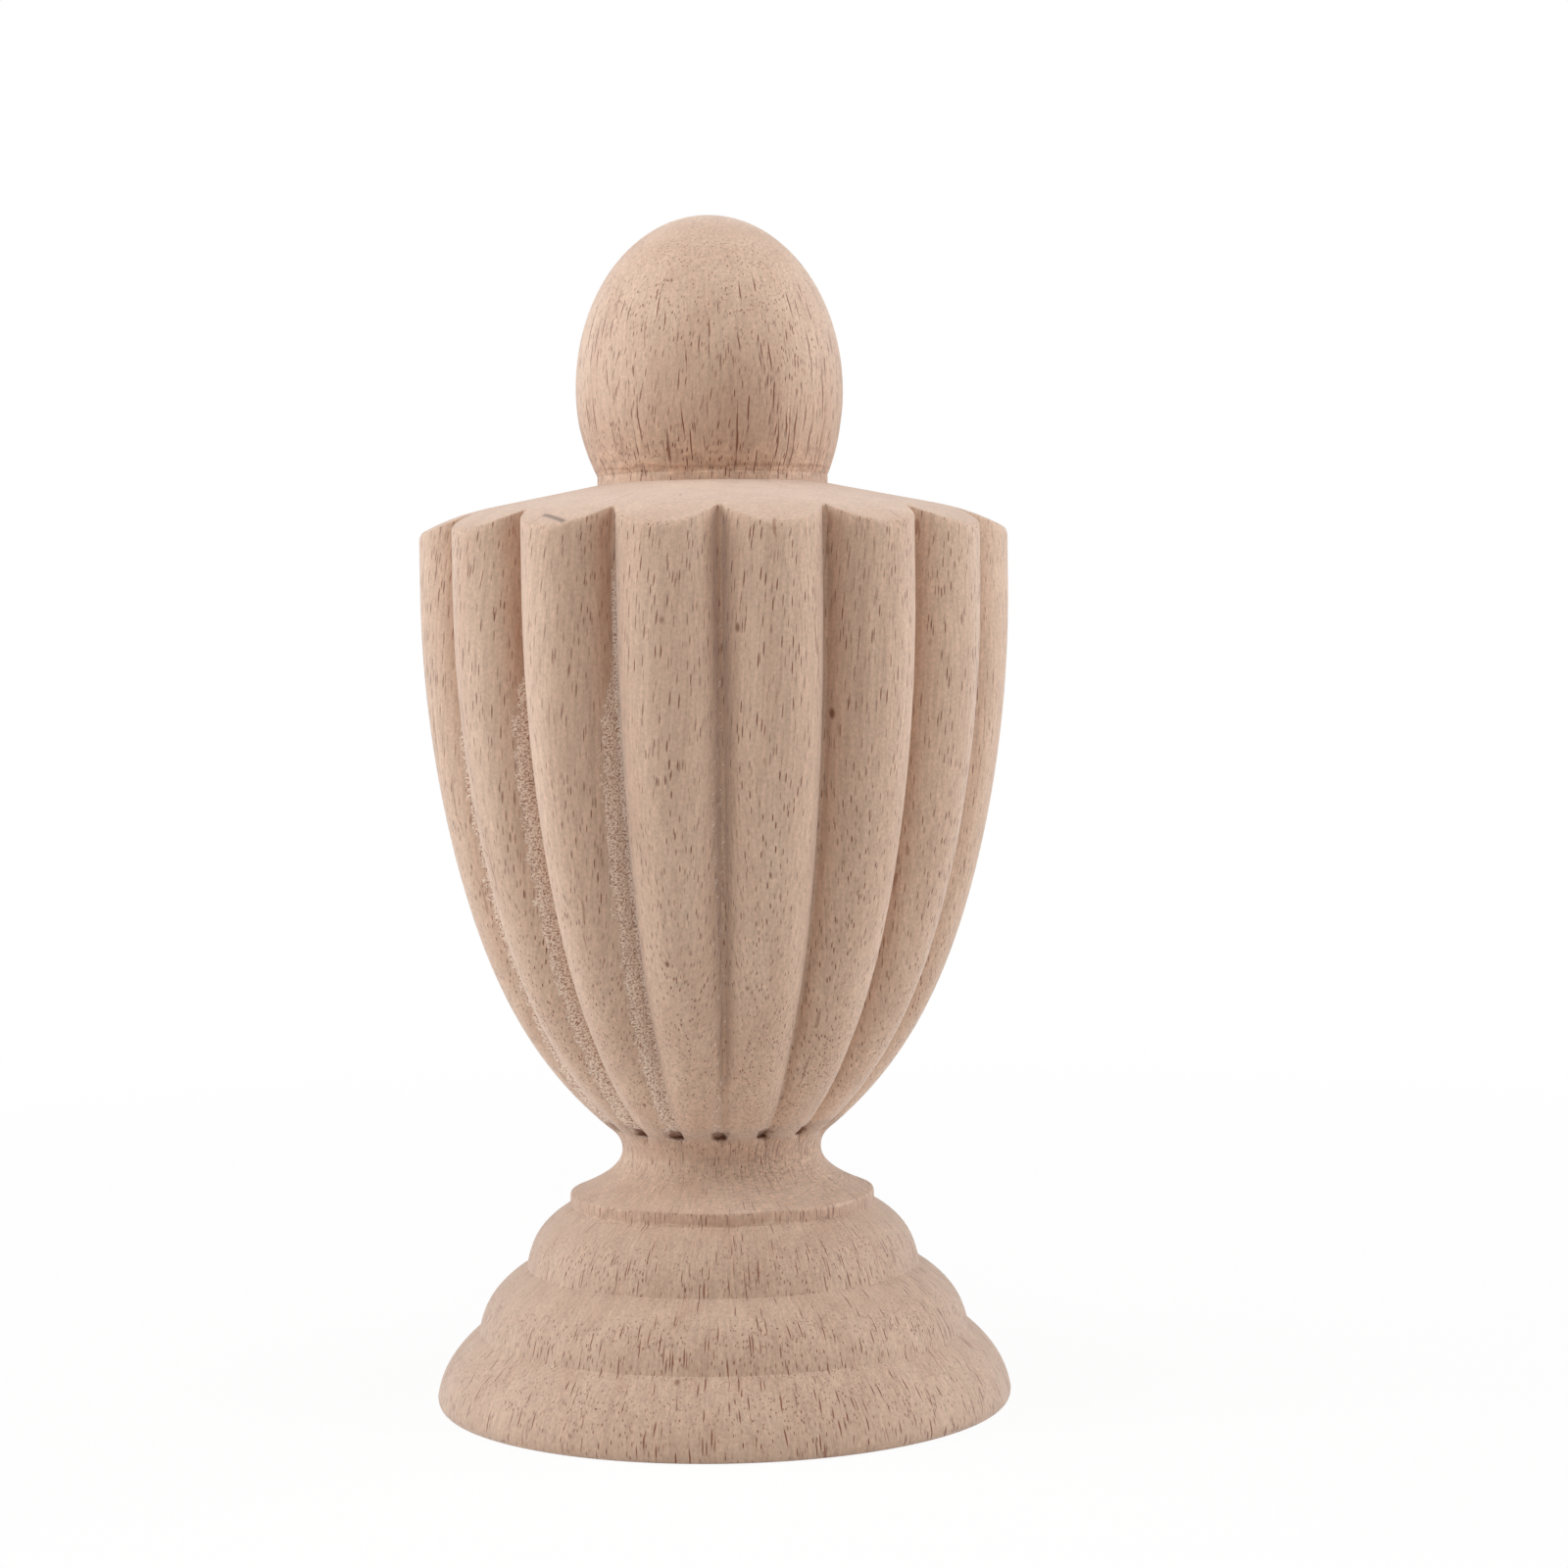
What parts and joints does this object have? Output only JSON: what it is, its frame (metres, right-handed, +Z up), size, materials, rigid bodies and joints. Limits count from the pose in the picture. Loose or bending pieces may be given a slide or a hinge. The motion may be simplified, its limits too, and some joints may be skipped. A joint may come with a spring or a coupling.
{
  "type": "curtain pole finial",
  "caption": "Turned wooden urn finial with a reeded bowl, an egg top and stepped round mouldings, pushed on the end of a curtain pole.",
  "frame": {"origin": "middle of the flat foot, where the turning axis meets the face that rests against the pole's end", "axes": "+Z up the turning axis from the foot to the tip of the egg; a reed's crest lies on each of +X, -X, +Y and -Y"},
  "size_m": [0.092, 0.092, 0.185],
  "materials": {
    "wood": "bare, sanded, unfinished pale wood"
  },
  "bodies": {
    "root": {"finial": "wood"}
  },
  "joints": []
}
